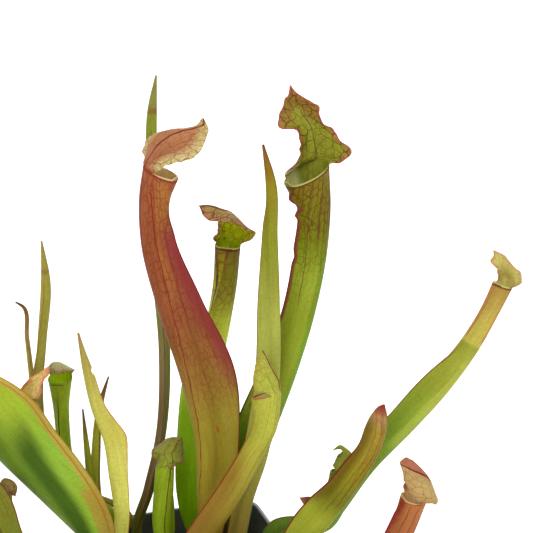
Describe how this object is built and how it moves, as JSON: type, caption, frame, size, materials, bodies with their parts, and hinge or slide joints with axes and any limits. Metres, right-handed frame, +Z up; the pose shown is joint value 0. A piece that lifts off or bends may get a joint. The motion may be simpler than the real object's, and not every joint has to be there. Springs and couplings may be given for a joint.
{
  "type": "potted pitcher plant",
  "caption": "Carnivorous pitcher plant with tall hooded tubes, low side pitchers and flat winged blades, standing in soil in a square plastic nursery pot.",
  "frame": {"origin": "middle of the pot's flat base, on the surface that it stands on", "axes": "+Z up out of the pot, X and Y along the sides of the square pot; the pictured side is seen from about 19 degrees left of the -Y side"},
  "size_m": [0.2816, 0.1286, 0.318],
  "materials": {
    "pot": "black moulded plastic, slightly glossy",
    "soil": "damp dark peat with perlite",
    "green_leaf": "waxy yellow-green leaf with red-brown veins",
    "red_leaf": "waxy brick-red leaf with dark red veins",
    "yellow_leaf": "pale yellow leaf with a thin red edge",
    "brown_leaf": "drying olive-brown leaf"
  },
  "bodies": {
    "root": {"pot": "pot", "soil": "soil", "pitcher_red": "red_leaf", "pitcher_tall": "green_leaf", "pitcher_back": "green_leaf", "pitcher_front": "green_leaf", "pitcher_long_right": "green_leaf", "pitcher_hook": "green_leaf", "pitcher_bud_right": "brown_leaf", "pitcher_rust_right": "red_leaf", "pitcher_broad_left": "green_leaf", "pitcher_low_left": "green_leaf", "pitcher_bud_left": "brown_leaf", "pitcher_pink": "green_leaf", "pitcher_green_left": "green_leaf", "pitcher_low_green": "green_leaf", "pitcher_closed": "green_leaf", "blade_tall": "green_leaf", "blade_centre": "green_leaf", "blade_left": "green_leaf", "blade_thin_left": "brown_leaf", "blade_yellow": "yellow_leaf", "blade_short": "green_leaf", "blade_brown_tip": "green_leaf"}
  },
  "joints": []
}
